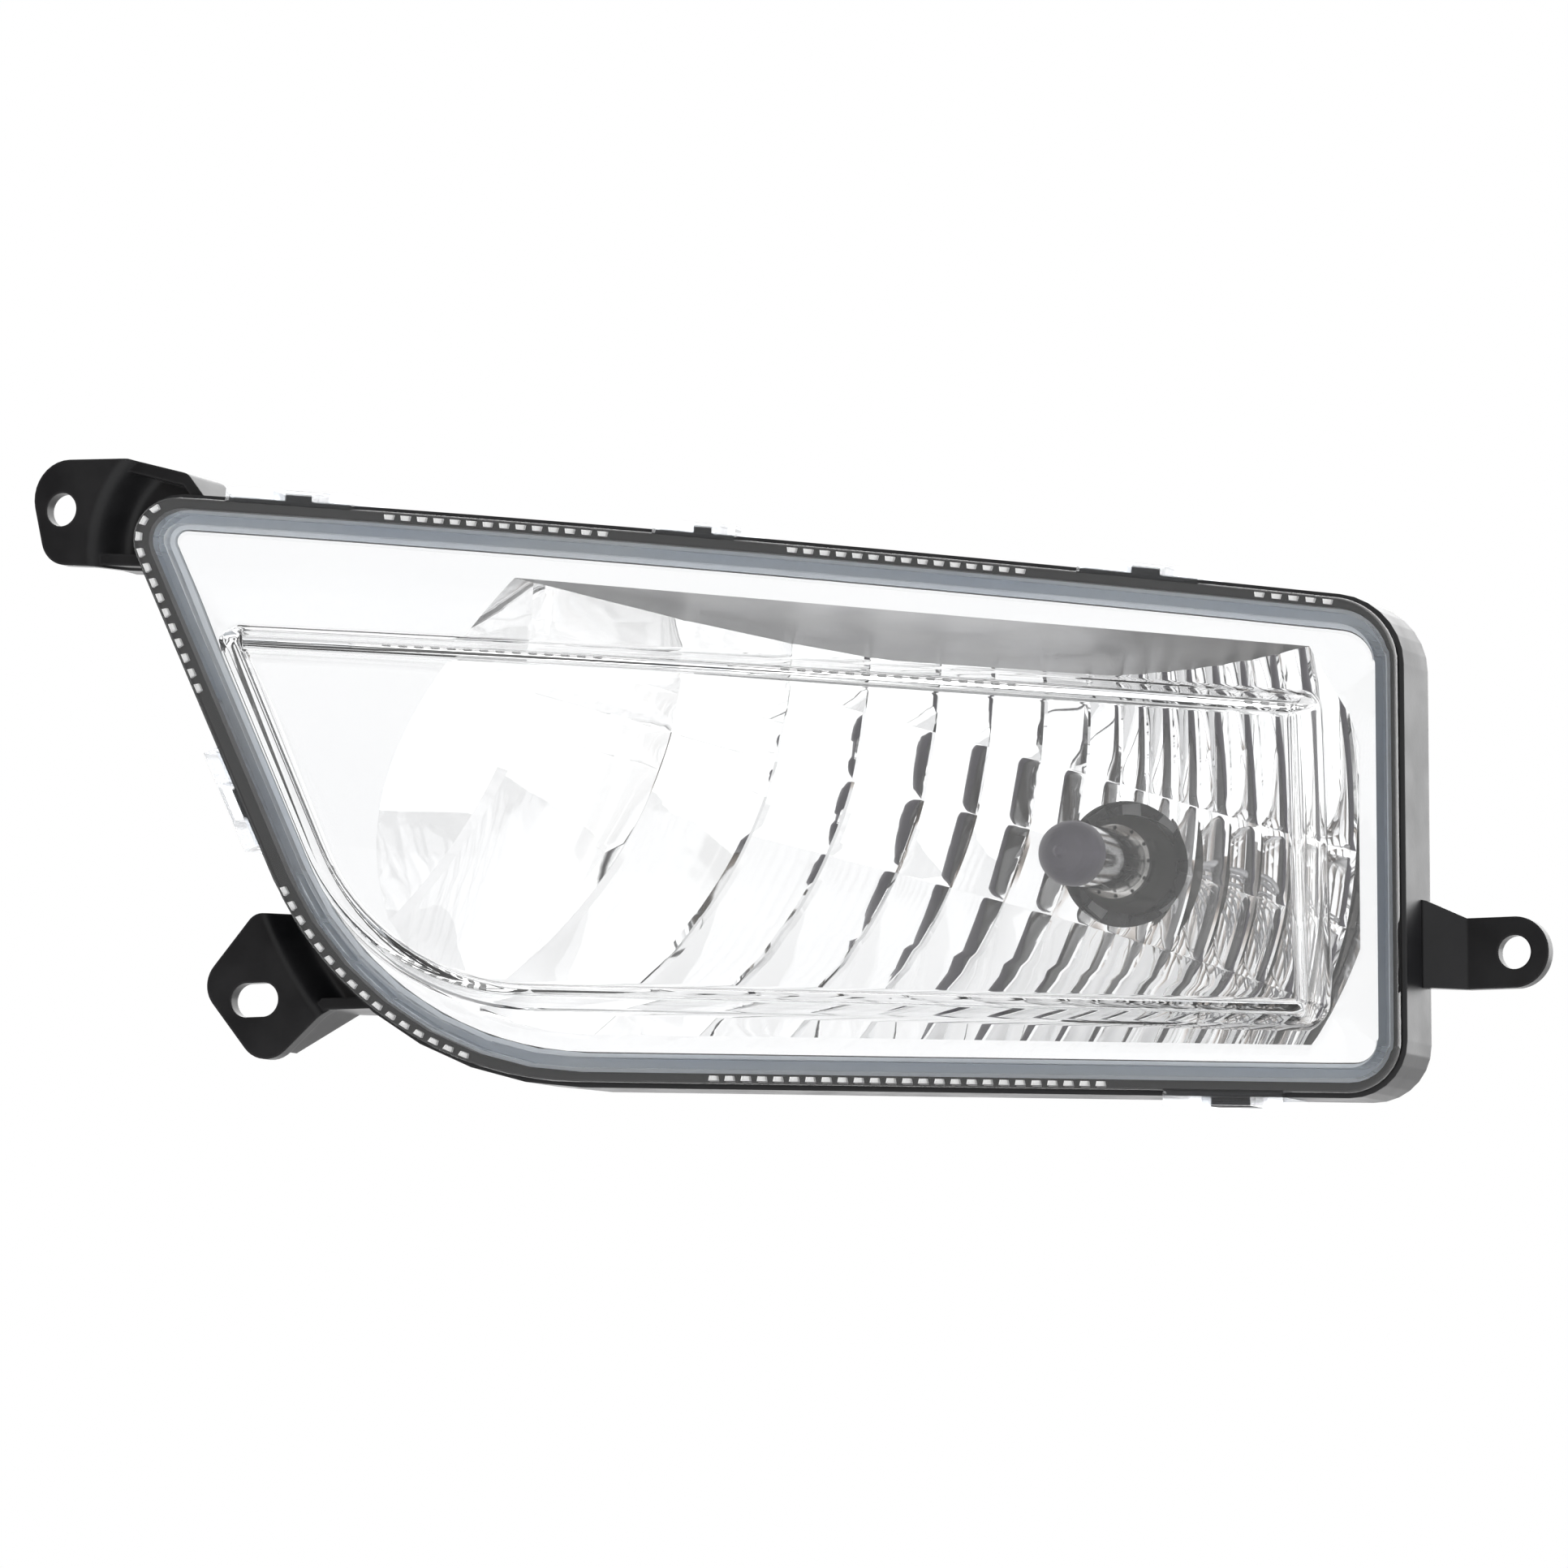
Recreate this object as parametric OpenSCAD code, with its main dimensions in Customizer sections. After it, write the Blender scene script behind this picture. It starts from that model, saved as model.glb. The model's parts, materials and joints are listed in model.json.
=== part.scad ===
// Left-hand vehicle fog light: a clear snap-on lens over a swept housing, a
// one-piece bright reflector, and a twin-filament bulb in a quarter-turn socket.
// +Z is up, the beam points along -Y, and +X is to the right when the lamp is
// seen from the front. The origin is the centre of the outer tab's hole, on the
// tab's front face. All sizes are in millimetres.

/* [Lens outline] */
// Length of the lens along its sloping top edge's chord, seen square on
lens_w = 264.7; // [215:0.1:320]
// Height of the lens at its outer end
outer_h = 101.1; // [92:0.1:122]
// Height of the lens at its pointed inner end
inner_h = 124.1; // [112:0.1:136]
// How far the lower inner corner is set in from the pointed end
inner_rake = 51.9; // [40:0.1:64]
// Radius of the large lower inner corner
sweep_r = 69; // [50:1:74]
// Outward bow of the top edge
top_bow = 1.6; // [0:0.1:3]
// Angle that the lens is swept back from square to the beam
sweep = 24; // [15:0.5:28]

/* [Lens] */
// Thickness of the lens wall
lens_t = 2.5; // [2:0.1:3.2]
// Height of the raised panel above the lens face
panel_h = 6.5; // [4:0.1:8]
// Length of the lens leg that stands in the sealant
leg_len = 6; // [4:0.1:7.5]
// Thickness of the lens leg
leg_t = 2.2; // [1.6:0.1:2.4]
// Thickness of the snap loops
loop_t = 1.8; // [1.4:0.1:2.4]
// Reach of the snap loops behind the lens face
loop_len = 11; // [10:0.1:13]

/* [Housing] */
// Wall thickness of the housing
wall = 1.6; // [1.4:0.1:2.2]
// Depth of the rim that carries the sealing groove
rim_depth = 14; // [13:0.1:18]
// Thickness of the rim outside the sealing groove
rim_wall = 3.1; // [2.4:0.1:3.6]
// Width of the sealing groove
groove_w = 4.1; // [3.6:0.1:5]
// Depth of the sealing groove
groove_depth = 9.5; // [8.5:0.1:11]
// Depth of the housing's shallow flat floor behind the lens
floor_depth = 20; // [18:0.5:26]
// Gap between the reflector's back and the housing
back_gap = 4.6; // [3:0.1:6]

/* [Reflector] */
// Depth of the reflector, along the beam, from the lens to its vertex
bowl_depth = 58; // [48:0.1:70]
// Focal length of the reflector
focal = 33; // [30:0.5:38]
// Wall thickness of the reflector
bowl_t = 2; // [1.5:0.1:2.5]
// Distance from the lens's outer end to the bulb axis, square to the beam
axis_x = 70.7; // [64:0.1:78]
// Height of the bulb axis above the lens's lower outer corner
axis_z = 51.4; // [46:0.1:56]
// Draft of the reflector's top shelf
shelf_draft = 9; // [4:0.5:12]

/* [Bulb] */
// Radius of the round opening in the reflector
opening_r = 14.2; // [13:0.01:17.1]
// Radius of the bulb base where it passes through the socket ring
base_r = 11.2; // [10.4:0.1:11.6]
// Radius of the bulb's glass
glass_r = 6.9; // [5.7:0.01:8.3]
// Distance from the reflector's vertex to the middle of the glass dome
dome_reach = 31.5; // [28:0.5:36]
// Turn that locks the bulb in its socket
lock_turn = 30; // [25:1:36]

/* [Mounting tabs] */
// Thickness of the mounting tabs
tab_t = 3; // [2.5:0.1:4]
// Radius of the two round fixing holes
hole_r = 3.5; // [2.9:0.01:4.2]
// Width of the fixing slot
slot_w = 7.1; // [6.5:0.1:7.5]
// Length of the fixing slot, end to end
slot_len = 11; // [9.5:0.1:12]
// Radius of the round end of the outer tab
tab_r = 7.35; // [6.5:0.05:8.5]

/* [Hidden] */

$fn = 64;
far = 400;           // longer than the lamp, for cutting tools
touch = 0.01;        // overlap of solids that are fused
slip = 0.1;          // clearance between pieces that are clipped or screwed together

// The lens plane's lower outer corner, from the outer tab's hole.
corner = [-19.5, -14, -29.7];
lip = 0.9;                       // the rim stands this far outside the lens
groove_in = rim_wall - lip;      // outside of the sealing groove, in from the lens edge
body_in = groove_in + groove_w;  // outside of the housing body, in from the lens edge
cavity_in = body_in + wall;      // inside of the housing body
plate_in = body_in + 0.3;        // edge of the reflector's rim plate
bowl_in = cavity_in + bowl_t + 0.3;   // edge of the reflector's bowl
leg_in = groove_in + 0.9;        // outside of the lens leg
plate_front = -3;                // front of the reflector's rim plate, from the lens plane
plate_back = plate_front - bowl_t;

bulb_x = corner.x - axis_x;
bulb_z = corner.z + axis_z;
vertex_y = corner.y - axis_x * tan(sweep) + bowl_depth;
// The floor lies farther back under a deeper bowl, so that the screw heads clear the housing.
floor_at = floor_depth + 0.5 * max(0, bowl_depth - 58);

// ---- outlines in the lens plane: [along the lens, up], from the lower outer corner ----

lens_corners = [
    [-lens_w, inner_h], [inner_rake - lens_w, 3], [0, 0], [0, outer_h]
];
lens_radii = [8.7, sweep_r, 11, 13.3];
panel_corners = [
    [22.7 - lens_w, inner_h - 28.6], [inner_rake + 3.2 - lens_w, 18.1],
    [-14.3, 13.8], [-16.1, outer_h - 19.7]
];
panel_radii = [3, sweep_r - 18, 5, 3];
arc_steps = 7;
top_steps = 8;

function unit(v) = v / norm(v);
function inward(a, b) = let (d = unit(b - a)) [-d.y, d.x];
function mitre(n1, n2) = (n1 + n2) / (1 + n1 * n2);

// One rounded corner of an outline that runs anticlockwise, moved in by inset.
function rounded_corner(before, at, after, r, inset) =
    let (
        n1 = inward(before, at),
        n2 = inward(at, after),
        kept = max(r - inset, 0.8),
        centre = at + (inset + kept) * mitre(n1, n2),
        start = atan2(-n1.y, -n1.x),
        turn = acos(n1 * n2)
    )
    [for (i = [0:arc_steps])
        centre + kept * [cos(start + turn * i / arc_steps), sin(start + turn * i / arc_steps)]];

function bow(u, v) = top_bow * 4 * (-u / lens_w) * (1 + u / lens_w) * v / inner_h;

// A rounded outline moved in by inset, with its top edge bowed.
function outline(corners, radii, inset = 0) =
    let (
        n = len(corners),
        round_points = [for (i = [0:n - 1], p = rounded_corner(
            corners[(i + n - 1) % n], corners[i], corners[(i + 1) % n], radii[i], inset)) p],
        last = round_points[len(round_points) - 1],
        top_points = [for (i = [1:top_steps - 1])
            last + (round_points[0] - last) * i / top_steps]
    )
    [for (p = concat(round_points, top_points)) p + [0, bow(p.x, p.y)]];

function lens_outline(inset = 0) = outline(lens_corners, lens_radii, inset);
function panel_outline(inset = 0) = outline(panel_corners, panel_radii, inset);

// From the lens plane to the X-Z plane, looking along the beam.
function front(p) = [corner.x + p.x * cos(sweep), corner.z + p.y];
function on_lens(p, w = 0) = [
    corner.x + p.x * cos(sweep) + w * sin(sweep),
    corner.y + p.x * sin(sweep) - w * cos(sweep),
    corner.z + p.y
];

// ---- construction ----

// An outline in X-Z, extruded along the beam from y0 to y1.
module prism(points, y0, y1) {
    translate([0, y1, 0]) rotate([90, 0, 0]) linear_extrude(y1 - y0) polygon(points);
}

// An outline in X-Y, extruded upwards from z0 to z1.
module upright(points, z0, z1) {
    translate([0, 0, z0]) linear_extrude(z1 - z0) polygon(points);
}

// The space between two planes parallel to the lens, w0 and w1 in front of it.
module lens_slab(w0, w1) {
    translate(corner) rotate([0, 0, sweep])
        translate([-1.5 * far, -w1, -far / 2]) cube([2 * far, w1 - w0, far]);
}

// An outline in the lens plane, drawn along the beam and cut parallel to the lens.
module drawn(points, w0, w1) {
    intersection() {
        prism([for (p = points) front(p)], -far / 2, far / 4);
        lens_slab(w0, w1);
    }
}

module drawn_ring(outer_inset, inner_inset, w0, w1) {
    difference() {
        drawn(lens_outline(outer_inset), w0, w1);
        drawn(lens_outline(inner_inset), w0 - 1, w1 + 1);
    }
}

// A round bar along the beam, on the bulb's axis, from y0 to y1.
module on_axis(y0, y1, r) {
    translate([bulb_x, y1, bulb_z]) rotate([90, 0, 0]) cylinder(r = r, h = y1 - y0);
}

// Places its children at a point of the lens plane, with +Z square to the lens.
module at_lens(p, w = 0) {
    translate(on_lens(p, w)) rotate([0, 0, sweep]) rotate([90, 0, 0]) children();
}

// The reflector's surface: a parabola turned about the bulb's axis.
function bowl_rise(r) = r * r / (4 * focal);
bowl_radii = [11, 20, 30, 40, 50, 60, 70, 80, 92, 106, 124, 150, 200];

// Everything in front of the reflector's surface, moved back by shift.
module bowl_space(shift) {
    translate([bulb_x, vertex_y + shift, bulb_z]) rotate([90, 0, 0]) rotate_extrude() polygon(concat(
        [[0, bowl_rise(bowl_radii[0])]],
        [for (r = bowl_radii) [r, bowl_rise(r)]],
        [[200, far], [0, far]]
    ));
}

// A deep body under the lens: the bowl's space, or a shallow slab where that is deeper.
module body_space(inset, shift, depth, w_front) {
    union() {
        intersection() {
            drawn(lens_outline(inset), -far / 2, w_front);
            bowl_space(shift);
        }
        drawn(lens_outline(inset), -depth, w_front);
    }
}

// Everything above the reflector's sloping top shelf.
module above_shelf(raise) {
    along = unit([cos(sweep), sin(sweep), (outer_h - inner_h) / lens_w]);
    into = [0, cos(shelf_draft), -sin(shelf_draft)];
    up = unit(cross(along, into));
    side = cross(up, along);
    p = on_lens([-lens_w / 2, (inner_h + outer_h) / 2 - bowl_in + raise], plate_front);
    multmatrix([
        [along.x, side.x, up.x, p.x],
        [along.y, side.y, up.y, p.y],
        [along.z, side.z, up.z, p.z],
        [0, 0, 0, 1]
    ]) translate([-far, -far, 0]) cube([2 * far, 2 * far, far]);
}

// ---- snap loops and hooks along the lens edge ----
// Each is [position on the edge, direction of the edge, length of the loop, hook width].

top_dir = unit([lens_w, outer_h - inner_h]);
left_dir = unit([-inner_rake, inner_h - 3]);
bottom_dir = unit([inner_rake - lens_w, 3]);
function top_point(share) =
    let (u = -lens_w * (1 - share), v = inner_h + (outer_h - inner_h) * share)
    [u, v + bow(u, v)];
snaps = [
    [top_point(0.14), unit(top_point(0.16) - top_point(0.12)), 26, 7],
    [top_point(0.455), unit(top_point(0.475) - top_point(0.435)), 17, 5],
    [top_point(0.8), unit(top_point(0.82) - top_point(0.78)), 25, 7],
    [lens_corners[1] + 58 / left_dir.y * left_dir, left_dir, 22, 7],
    [36 * bottom_dir, bottom_dir, 24.5, 9]
];
hook_w0 = -7.5;
hook_w1 = -3;

// A rectangle beside the lens edge: t runs along the edge and m out from it.
function edge_rect(snap, t0, t1, m0, m1) =
    let (d = snap[1], out = [-d.y, d.x])
    [for (c = [[t0, m0], [t1, m0], [t1, m1], [t0, m1]]) snap[0] + c.x * d + c.y * out];

module snap_loop(snap) {
    half = snap[2] / 2;
    inner = snap[3] / 2 + 0.5;
    m0 = lip + slip;
    for (leg = [[-half, -inner], [inner, half]])
        drawn(edge_rect(snap, leg[0], leg[1], m0, m0 + loop_t), -loop_len, lens_t);
    drawn(edge_rect(snap, -half, half, m0, m0 + loop_t), -loop_len, hook_w0 - 0.8);
    drawn(edge_rect(snap, -half, half, -1, m0 + loop_t), lens_t / 3, lens_t);
}

module snap_hook(snap) {
    half = snap[3] / 2;
    drawn(edge_rect(snap, -half, half, lip - 0.5, lip + slip + loop_t), hook_w0, hook_w1);
}

// ---- lens and sealant ----

module lens() {
    panel_top = lens_t + panel_h;
    color([0.93, 0.95, 0.97, 0.35]) union() {
        difference() {
            union() {
                drawn(lens_outline(), 0, lens_t);
                drawn(panel_outline(), lens_t - touch, panel_top);
            }
            drawn(panel_outline(lens_t), -1, panel_top - lens_t);
        }
        drawn_ring(leg_in, leg_in + leg_t, -leg_len, touch);
        for (snap = snaps) snap_loop(snap);
    }
}

module lens_sealant() {
    color([0.55, 0.6, 0.68]) difference() {
        drawn_ring(groove_in, body_in, -groove_depth, -2.5);
        drawn_ring(leg_in, leg_in + leg_t, -leg_len, 0);
    }
}

// ---- housing ----

floor_drift = (floor_at - floor_depth) * tan(sweep);   // keeps the pillars off the slanted side
screw_points = [
    [-lens_w + 30 + floor_drift, inner_h - 17.5], [-lens_w + 47.5 + floor_drift, inner_h - 60],
    [-13.5, outer_h - 13.5], [-13.5, 13.5]
];
upper_vent = [-lens_w + 38, inner_h - 34];
lower_vent = [-lens_w + 53, inner_h - 80];
vent_r = 4;
vent_bore = 2;
vent_len = 9;
screw_hole_r = 1.9;
back_t = 2.5;
back_shift = bowl_t + back_gap;
ring_front = vertex_y + 2.5;
ring_t = 2.5;
ring_r = opening_r + 1.2;
collar_bore = opening_r + 0.3;
collar_r = ring_r + 3;
collar_back = ring_front + ring_t + 9;

module vent_stub(p) {
    at_lens(p, -floor_at - vent_len) cylinder(r = vent_r, h = vent_len + wall / 2);
}

module housing_outside() {
    union() {
        drawn(lens_outline(-lip), -rim_depth, 0);
        body_space(body_in, back_shift + back_t, floor_at, -rim_depth + touch);
        for (snap = snaps) snap_hook(snap);
        on_axis(ring_front, collar_back, collar_r);
        vent_stub(upper_vent);
        vent_stub(lower_vent);
    }
}

module housing() {
    color([0.08, 0.08, 0.085]) difference() {
        housing_outside();
        drawn_ring(groove_in, body_in, -groove_depth, 1);
        drawn(lens_outline(body_in - touch), plate_back, 1);
        body_space(cavity_in, back_shift, floor_at - wall, plate_back + touch);
        on_axis(ring_front - far / 8, ring_front + ring_t, ring_r + slip / 2);
        on_axis(ring_front, collar_back + 1, collar_bore);
        for (p = screw_points)
            at_lens(p, -floor_at - 1) cylinder(r = screw_hole_r, h = wall + 2);
        for (p = [upper_vent, lower_vent])
            at_lens(p, -floor_at - vent_len - 1) cylinder(r = vent_bore, h = vent_len + wall + 2);
    }
}

// The brackets butt against the housing's side and stay outside this.
module housing_envelope() {
    drawn(lens_outline(-lip), -far / 3, lens_t);
}

// ---- mounting brackets ----

outer_crease = 10.2;

module outer_bracket() {
    arm_front = -4;
    arm_x = corner.x - 4;
    side_view = [
        [-outer_crease, -tab_r], [arm_x, -tab_r + 0.6], [arm_x, tab_r + 5],
        [-outer_crease - 7.5, tab_r + 3.6], [-outer_crease, tab_r]
    ];
    plan_view = [
        [-outer_crease, 0], [-outer_crease, tab_t], [arm_x, arm_front + tab_t],
        [arm_x, arm_front - 2], [corner.x + lip, arm_front]
    ];
    color([0.08, 0.08, 0.085]) difference() {
        union() {
            translate([-outer_crease, 0, -tab_r]) cube([outer_crease, tab_t, 2 * tab_r]);
            translate([0, tab_t, 0]) rotate([90, 0, 0]) cylinder(r = tab_r, h = tab_t);
            intersection() {
                upright(plan_view, -3 * tab_r, 3 * tab_r);
                prism(side_view, -far / 4, far / 4);
            }
        }
        translate([0, tab_t + 1, 0]) rotate([90, 0, 0]) cylinder(r = hole_r, h = tab_t + 2);
        housing_envelope();
    }
}

// A rounded outline in X-Z, anticlockwise.
function rounded(corners, radii) =
    let (n = len(corners))
    [for (i = [0:n - 1], p = rounded_corner(
        corners[(i + n - 1) % n], corners[i], corners[(i + 1) % n], radii[i], 0)) p];

// The pointed end of the lens, from which the two inner brackets are placed.
tip = on_lens(lens_corners[0]);
heel = on_lens(lens_corners[1]);
upper_hole = [tip.x - 18, tip.y + 9.6, tip.z - 0.8];
lower_slot = [heel.x - 27.5, heel.y + 4.5, heel.z + 17.7];
flange_t = 2.4;

// A cranked bracket. Its tab lies in one plane, a wall that follows the lens outline
// steps back from it, and a back plate runs on to the housing's side.
module cranked(region, y0, step, reach) {
    outer = [for (p = lens_outline(-reach)) front(p)];
    inner = [for (p = lens_outline(tab_t - reach)) front(p)];
    union() {
        difference() {
            prism(region, y0, y0 + tab_t);
            prism(inner, y0 - 1, y0 + tab_t + 1);
        }
        intersection() {
            prism(region, y0, y0 + step + tab_t);
            difference() {
                prism(outer, y0 - 1, y0 + step + tab_t + 1);
                prism(inner, y0 - 2, y0 + step + tab_t + 2);
            }
        }
        intersection() {
            prism(region, y0 + step, y0 + step + tab_t);
            prism(outer, y0 - 1, y0 + step + tab_t + 1);
        }
    }
}

// A flange along a bracket's edge, drawn from edge_strip, inside the cranked wall.
module bracket_flange(edge_strip, y0, y1, reach) {
    intersection() {
        prism(edge_strip, y0, y1);
        prism([for (p = lens_outline(-reach)) front(p)], y0 - 1, y1 + 1);
    }
}

upper_reach = 17;
upper_step = 6;

module upper_bracket() {
    h = upper_hole;
    y0 = h.y;
    at = [h.x, h.z];
    region = rounded(
        [at + [-8.6, 10.9], at + [-3.6, -11.3], at + [42, -15.5], at + [36, -3],
            at + [29, 6], at + [15.5, 9.8]],
        [8, 6, 1, 1, 3, 2]);
    top_strip = [
        at + [2, 7.6], at + [15.2, 7.2], at + [28, 3.6], at + [34, -4],
        at + [36, -3], at + [29.2, 6], at + [15.8, 9.7], at + [2, 10.4]
    ];
    bottom_strip = [
        at + [0, -11.2], at + [42, -14.9], at + [42, -12.4], at + [0, -8.8]
    ];
    color([0.08, 0.08, 0.085]) difference() {
        union() {
            cranked(region, y0, upper_step, upper_reach);
            intersection() {
                union() {
                    bracket_flange(top_strip, y0 + 1, y0 + 17, upper_reach);
                    bracket_flange(bottom_strip, y0 + 1, y0 + 17, upper_reach);
                }
                prism(region, y0, y0 + 18);
            }
        }
        translate([h.x, y0 + tab_t + 1, h.z]) rotate([90, 0, 0])
            cylinder(r = hole_r, h = tab_t + 2);
        housing_envelope();
    }
}

module slot(length, width, depth) {
    for (side = [-1, 1])
        translate([side * (length - width) / 2, 0, 0]) cylinder(r = width / 2, h = depth);
    translate([(width - length) / 2, -width / 2, 0]) cube([length - width, width, depth]);
}

lower_reach = 11.3;
lower_step = 5;

module lower_bracket() {
    h = lower_slot;
    y0 = h.y;
    at = [h.x, h.z];
    region = rounded(
        [at + [-0.2, 18], at + [-13, 3.5], at + [2, -15.2], at + [16.5, -2.6],
            at + [36, -2.4], at + [16, 17.8]],
        [4, 6, 6.5, 3, 1, 1]);
    strip = [
        at + [6.8, -10.9], at + [16.2, -2.5], at + [36, -2.4], at + [36, 0],
        at + [15.2, -0.1], at + [5.2, -9.1]
    ];
    web_plan = [
        [h.x + 3, y0 + 0.4], [h.x + 16.5, y0 + 0.4], [h.x + 30, y0 + 3], [h.x + 40, y0 + 3],
        [h.x + 40, y0 + 20], [h.x + 20, y0 + 20], [h.x + 4, y0 + tab_t]
    ];
    color([0.08, 0.08, 0.085]) difference() {
        union() {
            cranked(region, y0, lower_step, lower_reach);
            intersection() {
                prism(strip, y0, y0 + 21);
                upright(web_plan, h.z - 20, h.z + 20);
            }
        }
        translate([h.x, y0 + tab_t + 1, h.z]) rotate([90, 0, 0])
            slot(slot_len, slot_w, tab_t + 2);
        housing_envelope();
    }
}

// ---- reflector ----

pillar_r = 3;

module bowl_block(shift, inset, raise, w_front) {
    difference() {
        intersection() {
            drawn(lens_outline(inset), -far / 2, w_front);
            bowl_space(shift);
        }
        above_shelf(raise);
    }
}

module reflector() {
    color([0.9, 0.9, 0.92]) difference() {
        union() {
            drawn(lens_outline(plate_in), plate_back, plate_front);
            bowl_block(bowl_t, bowl_in - bowl_t, bowl_t, plate_front);
            for (p = screw_points)
                at_lens(p, -floor_at + wall)
                    cylinder(r = pillar_r, h = floor_at - wall + plate_back + touch);
        }
        bowl_block(0, bowl_in, 0, 1);
        on_axis(vertex_y - far / 8, vertex_y + far / 8, opening_r);
        for (p = screw_points) at_lens(p, -floor_at) cylinder(r = 1.4, h = 10);
    }
}

module reflector_screws() {
    color([0.7, 0.7, 0.72]) for (p = screw_points) {
        at_lens(p, -floor_at - touch) cylinder(r = 1.35, h = 9);
        difference() {
            at_lens(p, -floor_at - 2.2) cylinder(r = 3.4, h = 2.2);
            for (a = [0, 90])
                at_lens(p, -floor_at - 2.3) rotate([0, 0, a])
                    translate([-2, -0.4, 0]) cube([4, 0.8, 1.2]);
        }
    }
}

// ---- socket ring, with key slots for the bulb's lugs ----

lug_r = opening_r - 0.3;
slot_angles = [92, 228, 310];
notch_angle = 50;
key_w = 5.2;

// A block that reaches from radius r0 to r1 at an angle, between y0 and y1.
module key_block(angle, r0, r1, width, y0, y1) {
    translate([bulb_x, y1, bulb_z]) rotate([90, 0, 0]) rotate([0, 0, angle])
        translate([r0, -width / 2, 0]) cube([r1 - r0, width, y1 - y0]);
}

module socket_ring() {
    color([0.1, 0.1, 0.105]) difference() {
        on_axis(ring_front, ring_front + ring_t, ring_r);
        on_axis(ring_front - 1, ring_front + ring_t + 1, base_r + 0.2);
        for (a = concat(slot_angles, [notch_angle]))
            key_block(a, base_r - 1, lug_r + 0.35, key_w, ring_front - 1, ring_front + ring_t + 1);
    }
}

// ---- vents ----

cap_wall = 1.3;
cap_reach = 6.5;

module vent_cap(p) {
    color([0.12, 0.12, 0.12]) difference() {
        union() {
            at_lens(p, -floor_at - vent_len - 3) cylinder(r = vent_r + cap_wall, h = cap_reach + 3);
            at_lens(p, -floor_at - vent_len - 3) translate([0, 0, 2.6]) rotate([90, 0, 0])
                cylinder(r = 2.6, h = vent_r + 6);
        }
        at_lens(p, -floor_at - vent_len) cylinder(r = vent_r, h = cap_reach + 1);
        at_lens(p, -floor_at - vent_len - 3) translate([0, 0, 2.6]) rotate([90, 0, 0])
            cylinder(r = 1.4, h = vent_r + 7);
    }
}

module vent_filters() {
    color([0.85, 0.85, 0.82]) for (p = [upper_vent, lower_vent])
        at_lens(p, -floor_at - vent_len + 0.6) cylinder(r = vent_bore, h = 3);
}

// ---- bulb ----

seal_front = ring_front + ring_t + 0.05;
seal_t = 1.6;
flange_front = seal_front + seal_t;
flange_back = flange_front + 3;
base_front = vertex_y - 0.5;
lug_front = vertex_y + 0.4;
lug_back = ring_front - 0.1;
shroud_back = flange_back + 22;
shroud_front = collar_back + 0.8;
shroud_w = 24;
shroud_h = 17;
shroud_wall = 2;
socket_floor = flange_back + 8;
stem_r = glass_r + 1;
sleeve_r = glass_r + 1.85;
sleeve_front = vertex_y - 8.5;
dome_y = vertex_y - dome_reach;
terminal_x = [-6, 0, 6];

module bulb_base() {
    color([0.11, 0.11, 0.12]) difference() {
        union() {
            on_axis(base_front, flange_front + touch, base_r);
            on_axis(flange_front, flange_back, collar_bore - 0.4);
            on_axis(flange_back - touch, shroud_front + touch, base_r - 0.7);
            for (a = slot_angles)
                key_block(a + lock_turn, base_r - 1, lug_r, key_w - 0.7, lug_front, lug_back);
            translate([bulb_x - shroud_w / 2, shroud_front, bulb_z - shroud_h / 2])
                cube([shroud_w, shroud_back - shroud_front, shroud_h]);
            translate([bulb_x - 4, shroud_front + 4, bulb_z + shroud_h / 2 - touch])
                cube([8, 8, 2.2]);
        }
        translate([bulb_x - shroud_w / 2 + shroud_wall, socket_floor, bulb_z - shroud_h / 2 + shroud_wall])
            cube([shroud_w - 2 * shroud_wall, far, shroud_h - 2 * shroud_wall]);
        on_axis(base_front - 1, base_front + 7, stem_r + 0.5);
        for (x = terminal_x)
            translate([bulb_x + x - 1.6, socket_floor - 3, bulb_z - 0.4]) cube([3.2, 4, 0.8]);
    }
}

module bulb_seal_ring() {
    color([0.72, 0.73, 0.74]) difference() {
        on_axis(seal_front, flange_front, collar_bore - 0.1);
        on_axis(seal_front - 1, flange_front + 1, base_r);
    }
}

module bulb_terminals() {
    color([0.8, 0.78, 0.7]) for (x = terminal_x)
        translate([bulb_x + x - 1.6, socket_floor - 3, bulb_z - 0.4])
            cube([3.2, shroud_back - socket_floor - 3, 0.8]);
}

module tube(y0, y1, r0, r1) {
    difference() {
        on_axis(y0, y1, r1);
        on_axis(y0 - 1, y1 + 1, r0);
    }
}

module bulb_focus_ring() {
    color([0.75, 0.74, 0.72]) {
        tube(sleeve_front, base_front, sleeve_r - 0.5, sleeve_r);
        tube(base_front - 0.6, base_front, sleeve_r - touch, base_r - 0.2);
        for (a = [20, 110, 200, 290])
            key_block(a, sleeve_r - touch, sleeve_r + 0.9, 2.6, sleeve_front + 1, base_front);
    }
}

module bulb_clamp_ring() {
    hole_count = 12;
    mid_r = (glass_r + sleeve_r) / 2;
    color([0.7, 0.69, 0.66]) difference() {
        tube(sleeve_front + 1.2, sleeve_front + 1.8, glass_r, sleeve_r - 0.5);
        for (i = [0:hole_count - 1])
            translate([bulb_x, 0, bulb_z]) rotate([0, i * 360 / hole_count, 0])
                translate([mid_r - 0.25, sleeve_front + 3, 0]) rotate([90, 0, 0])
                    cylinder(r = 0.45, h = 3, $fn = 24);
    }
}

glass_t = 0.9;
glass_back = base_front + 6;
coat_t = 0.15;
coat_start = dome_y + 1.2;

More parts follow.
